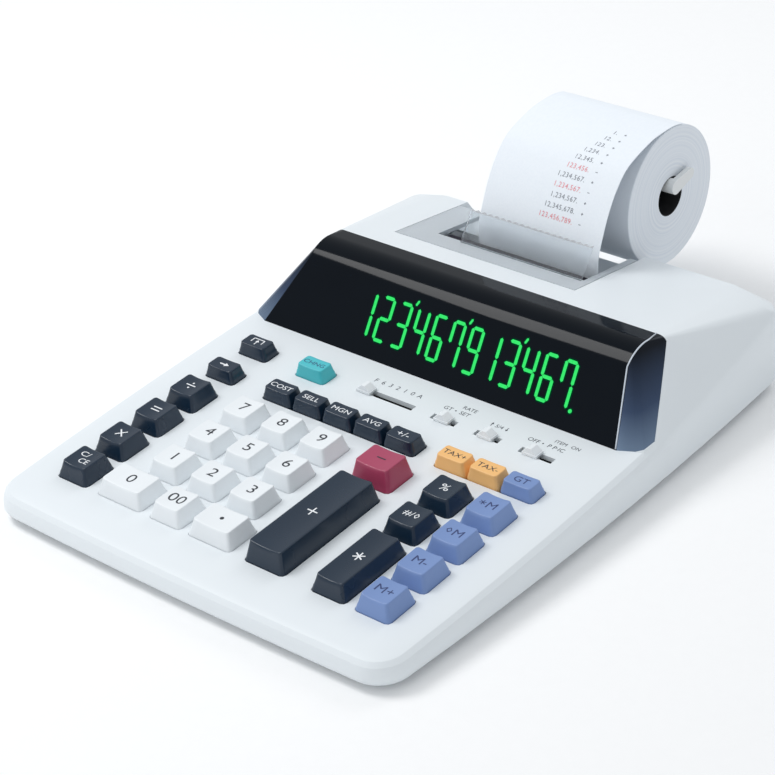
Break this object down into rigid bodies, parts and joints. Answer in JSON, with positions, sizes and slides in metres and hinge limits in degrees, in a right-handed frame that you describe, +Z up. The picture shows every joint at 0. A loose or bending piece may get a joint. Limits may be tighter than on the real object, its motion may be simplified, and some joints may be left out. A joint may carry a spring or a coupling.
{
  "type": "desk calculator",
  "caption": "Printing desk calculator with a sloping keyboard, a raised display housing with a dark window, and a paper roll held above a lidded printer bay at the back.",
  "frame": {"origin": "middle of the bounding box's bottom, on the table plane under the feet", "axes": "+X to the user's right, +Y to the back, +Z up"},
  "size_m": [0.191, 0.291, 0.0838],
  "materials": {
    "case_white": "satin",
    "lens_smoked": "gloss",
    "tube_glass": "gloss",
    "mat_rubber": "matt",
    "board": "satin",
    "laminations": "satin",
    "steel": "brushed",
    "cover_frosted": "frosted",
    "tear_metal": "brushed",
    "roller_rubber": "matt",
    "drum_dark": "satin",
    "ink_felt": "matt",
    "paper": "matt",
    "holder_plastic": "satin",
    "foot_rubber": "matt",
    "key_dark": "satin",
    "key_white": "satin",
    "key_red": "satin",
    "key_orange": "satin",
    "key_blue": "satin",
    "key_teal": "satin"
  },
  "bodies": {
    "case": {"top_case": "case_white", "bottom_case": "case_white", "display_window": "lens_smoked", "display_tube": "tube_glass", "keypad_mat": "mat_rubber", "main_board": "board", "transformer": "laminations", "printer_frame": "steel", "printer_motor": "steel", "paper_tape": "paper", "roll_holder": "holder_plastic", "rubber_feet": "foot_rubber", "case_screws": "steel", "cord_gland": "foot_rubber"},
    "cover": {"printer_cover": "cover_frosted", "tear_bar": "tear_metal"},
    "roll": {"paper_roll": "paper"},
    "platen": {"platen_roller": "roller_rubber"},
    "drum": {"print_drum": "drum_dark"},
    "ink": {"ink_roller": "ink_felt"},
    "switch_decimal": {"switch_decimal": "key_white"},
    "switch_rate": {"switch_rate": "key_white"},
    "switch_round": {"switch_round": "key_white"},
    "switch_power": {"switch_power": "key_white"},
    "key_clear": {"key_clear": "key_dark"},
    "key_multiply": {"key_multiply": "key_dark"},
    "key_equals": {"key_equals": "key_dark"},
    "key_divide": {"key_divide": "key_dark"},
    "key_1": {"key_1": "key_white"},
    "key_2": {"key_2": "key_white"},
    "key_3": {"key_3": "key_white"},
    "key_4": {"key_4": "key_white"},
    "key_5": {"key_5": "key_white"},
    "key_6": {"key_6": "key_white"},
    "key_7": {"key_7": "key_white"},
    "key_8": {"key_8": "key_white"},
    "key_9": {"key_9": "key_white"},
    "key_0": {"key_0": "key_white"},
    "key_00": {"key_00": "key_white"},
    "key_point": {"key_point": "key_white"},
    "key_plus": {"key_plus": "key_dark"},
    "key_minus": {"key_minus": "key_red"},
    "key_total": {"key_total": "key_dark"},
    "key_subtotal": {"key_subtotal": "key_dark"},
    "key_percent": {"key_percent": "key_dark"},
    "key_memory_plus": {"key_memory_plus": "key_blue"},
    "key_memory_minus": {"key_memory_minus": "key_blue"},
    "key_memory_subtotal": {"key_memory_subtotal": "key_blue"},
    "key_memory_total": {"key_memory_total": "key_blue"},
    "key_cost": {"key_cost": "key_dark"},
    "key_sell": {"key_sell": "key_dark"},
    "key_margin": {"key_margin": "key_dark"},
    "key_average": {"key_average": "key_dark"},
    "key_sign": {"key_sign": "key_dark"},
    "key_tax_plus": {"key_tax_plus": "key_orange"},
    "key_tax_minus": {"key_tax_minus": "key_orange"},
    "key_grand_total": {"key_grand_total": "key_blue"},
    "key_backspace": {"key_backspace": "key_dark"},
    "key_paper_feed": {"key_paper_feed": "key_dark"},
    "key_change": {"key_change": "key_teal"}
  },
  "joints": [
    {"name": "cover_hinge", "type": "hinge", "parent": "case", "child": "cover", "pos_m": [-0.0152, 0.05006, 0.04225], "axis": [1, 0, 0], "range_deg": [0, 95]},
    {"name": "paper_roll_spin", "type": "hinge", "parent": "case", "child": "roll", "pos_m": [-0.0042, 0.11672, 0.05377], "axis": [1, 0, 0], "continuous": true},
    {"name": "platen_spin", "type": "hinge", "parent": "case", "child": "platen", "pos_m": [-0.0042, 0.07392, 0.02371], "axis": [1, 0, 0], "continuous": true},
    {"name": "drum_spin", "type": "hinge", "parent": "case", "child": "drum", "pos_m": [-0.0042, 0.06245, 0.023], "axis": [1, 0, 0], "continuous": true},
    {"name": "ink_spin", "type": "hinge", "parent": "case", "child": "ink", "pos_m": [-0.0042, 0.06172, 0.03483], "axis": [1, 0, 0], "continuous": true},
    {"name": "switch_decimal_slide", "type": "slide", "parent": "case", "child": "switch_decimal", "axis": [1, 0, 0], "range_m": [0, 0.0204]},
    {"name": "switch_rate_slide", "type": "slide", "parent": "case", "child": "switch_rate", "axis": [1, 0, 0], "range_m": [-0.0034, 0.0034]},
    {"name": "switch_round_slide", "type": "slide", "parent": "case", "child": "switch_round", "axis": [1, 0, 0], "range_m": [-0.0034, 0.0034]},
    {"name": "switch_power_slide", "type": "slide", "parent": "case", "child": "switch_power", "axis": [1, 0, 0], "range_m": [-0.0034, 0.0068]},
    {"name": "key_clear_press", "type": "slide", "parent": "case", "child": "key_clear", "axis": [0, 0.061, -0.9981], "range_m": [0, 0.0025], "stiffness_N_per_m": 200, "springref_m": -0.001},
    {"name": "key_multiply_press", "type": "slide", "parent": "case", "child": "key_multiply", "axis": [0, 0.061, -0.9981], "range_m": [0, 0.0025], "stiffness_N_per_m": 200, "springref_m": -0.001},
    {"name": "key_equals_press", "type": "slide", "parent": "case", "child": "key_equals", "axis": [0, 0.061, -0.9981], "range_m": [0, 0.0025], "stiffness_N_per_m": 200, "springref_m": -0.001},
    {"name": "key_divide_press", "type": "slide", "parent": "case", "child": "key_divide", "axis": [0, 0.061, -0.9981], "range_m": [0, 0.0025], "stiffness_N_per_m": 200, "springref_m": -0.001},
    {"name": "key_1_press", "type": "slide", "parent": "case", "child": "key_1", "axis": [0, 0.061, -0.9981], "range_m": [0, 0.0025], "stiffness_N_per_m": 200, "springref_m": -0.001},
    {"name": "key_2_press", "type": "slide", "parent": "case", "child": "key_2", "axis": [0, 0.061, -0.9981], "range_m": [0, 0.0025], "stiffness_N_per_m": 200, "springref_m": -0.001},
    {"name": "key_3_press", "type": "slide", "parent": "case", "child": "key_3", "axis": [0, 0.061, -0.9981], "range_m": [0, 0.0025], "stiffness_N_per_m": 200, "springref_m": -0.001},
    {"name": "key_4_press", "type": "slide", "parent": "case", "child": "key_4", "axis": [0, 0.061, -0.9981], "range_m": [0, 0.0025], "stiffness_N_per_m": 200, "springref_m": -0.001},
    {"name": "key_5_press", "type": "slide", "parent": "case", "child": "key_5", "axis": [0, 0.061, -0.9981], "range_m": [0, 0.0025], "stiffness_N_per_m": 200, "springref_m": -0.001},
    {"name": "key_6_press", "type": "slide", "parent": "case", "child": "key_6", "axis": [0, 0.061, -0.9981], "range_m": [0, 0.0025], "stiffness_N_per_m": 200, "springref_m": -0.001},
    {"name": "key_7_press", "type": "slide", "parent": "case", "child": "key_7", "axis": [0, 0.061, -0.9981], "range_m": [0, 0.0025], "stiffness_N_per_m": 200, "springref_m": -0.001},
    {"name": "key_8_press", "type": "slide", "parent": "case", "child": "key_8", "axis": [0, 0.061, -0.9981], "range_m": [0, 0.0025], "stiffness_N_per_m": 200, "springref_m": -0.001},
    {"name": "key_9_press", "type": "slide", "parent": "case", "child": "key_9", "axis": [0, 0.061, -0.9981], "range_m": [0, 0.0025], "stiffness_N_per_m": 200, "springref_m": -0.001},
    {"name": "key_0_press", "type": "slide", "parent": "case", "child": "key_0", "axis": [0, 0.061, -0.9981], "range_m": [0, 0.0025], "stiffness_N_per_m": 200, "springref_m": -0.001},
    {"name": "key_00_press", "type": "slide", "parent": "case", "child": "key_00", "axis": [0, 0.061, -0.9981], "range_m": [0, 0.0025], "stiffness_N_per_m": 200, "springref_m": -0.001},
    {"name": "key_point_press", "type": "slide", "parent": "case", "child": "key_point", "axis": [0, 0.061, -0.9981], "range_m": [0, 0.0025], "stiffness_N_per_m": 200, "springref_m": -0.001},
    {"name": "key_plus_press", "type": "slide", "parent": "case", "child": "key_plus", "axis": [0, 0.061, -0.9981], "range_m": [0, 0.0025], "stiffness_N_per_m": 200, "springref_m": -0.001},
    {"name": "key_minus_press", "type": "slide", "parent": "case", "child": "key_minus", "axis": [0, 0.061, -0.9981], "range_m": [0, 0.0025], "stiffness_N_per_m": 200, "springref_m": -0.001},
    {"name": "key_total_press", "type": "slide", "parent": "case", "child": "key_total", "axis": [0, 0.061, -0.9981], "range_m": [0, 0.0025], "stiffness_N_per_m": 200, "springref_m": -0.001},
    {"name": "key_subtotal_press", "type": "slide", "parent": "case", "child": "key_subtotal", "axis": [0, 0.061, -0.9981], "range_m": [0, 0.0025], "stiffness_N_per_m": 200, "springref_m": -0.001},
    {"name": "key_percent_press", "type": "slide", "parent": "case", "child": "key_percent", "axis": [0, 0.061, -0.9981], "range_m": [0, 0.0025], "stiffness_N_per_m": 200, "springref_m": -0.001},
    {"name": "key_memory_plus_press", "type": "slide", "parent": "case", "child": "key_memory_plus", "axis": [0, 0.061, -0.9981], "range_m": [0, 0.0025], "stiffness_N_per_m": 200, "springref_m": -0.001},
    {"name": "key_memory_minus_press", "type": "slide", "parent": "case", "child": "key_memory_minus", "axis": [0, 0.061, -0.9981], "range_m": [0, 0.0025], "stiffness_N_per_m": 200, "springref_m": -0.001},
    {"name": "key_memory_subtotal_press", "type": "slide", "parent": "case", "child": "key_memory_subtotal", "axis": [0, 0.061, -0.9981], "range_m": [0, 0.0025], "stiffness_N_per_m": 200, "springref_m": -0.001},
    {"name": "key_memory_total_press", "type": "slide", "parent": "case", "child": "key_memory_total", "axis": [0, 0.061, -0.9981], "range_m": [0, 0.0025], "stiffness_N_per_m": 200, "springref_m": -0.001},
    {"name": "key_cost_press", "type": "slide", "parent": "case", "child": "key_cost", "axis": [0, 0.061, -0.9981], "range_m": [0, 0.0025], "stiffness_N_per_m": 200, "springref_m": -0.001},
    {"name": "key_sell_press", "type": "slide", "parent": "case", "child": "key_sell", "axis": [0, 0.061, -0.9981], "range_m": [0, 0.0025], "stiffness_N_per_m": 200, "springref_m": -0.001},
    {"name": "key_margin_press", "type": "slide", "parent": "case", "child": "key_margin", "axis": [0, 0.061, -0.9981], "range_m": [0, 0.0025], "stiffness_N_per_m": 200, "springref_m": -0.001},
    {"name": "key_average_press", "type": "slide", "parent": "case", "child": "key_average", "axis": [0, 0.061, -0.9981], "range_m": [0, 0.0025], "stiffness_N_per_m": 200, "springref_m": -0.001},
    {"name": "key_sign_press", "type": "slide", "parent": "case", "child": "key_sign", "axis": [0, 0.061, -0.9981], "range_m": [0, 0.0025], "stiffness_N_per_m": 200, "springref_m": -0.001},
    {"name": "key_tax_plus_press", "type": "slide", "parent": "case", "child": "key_tax_plus", "axis": [0, 0.061, -0.9981], "range_m": [0, 0.0025], "stiffness_N_per_m": 200, "springref_m": -0.001},
    {"name": "key_tax_minus_press", "type": "slide", "parent": "case", "child": "key_tax_minus", "axis": [0, 0.061, -0.9981], "range_m": [0, 0.0025], "stiffness_N_per_m": 200, "springref_m": -0.001},
    {"name": "key_grand_total_press", "type": "slide", "parent": "case", "child": "key_grand_total", "axis": [0, 0.061, -0.9981], "range_m": [0, 0.0025], "stiffness_N_per_m": 200, "springref_m": -0.001},
    {"name": "key_backspace_press", "type": "slide", "parent": "case", "child": "key_backspace", "axis": [0, 0.061, -0.9981], "range_m": [0, 0.0025], "stiffness_N_per_m": 200, "springref_m": -0.001},
    {"name": "key_paper_feed_press", "type": "slide", "parent": "case", "child": "key_paper_feed", "axis": [0, 0.061, -0.9981], "range_m": [0, 0.0025], "stiffness_N_per_m": 200, "springref_m": -0.001},
    {"name": "key_change_press", "type": "slide", "parent": "case", "child": "key_change", "axis": [0, 0.061, -0.9981], "range_m": [0, 0.0025], "stiffness_N_per_m": 200, "springref_m": -0.001}
  ],
  "couplings": [
    {"joint": "platen_spin", "follows": "paper_roll_spin", "ratio": 6.4},
    {"joint": "drum_spin", "follows": "paper_roll_spin", "ratio": -6.4},
    {"joint": "ink_spin", "follows": "paper_roll_spin", "ratio": 6.9818}
  ]
}
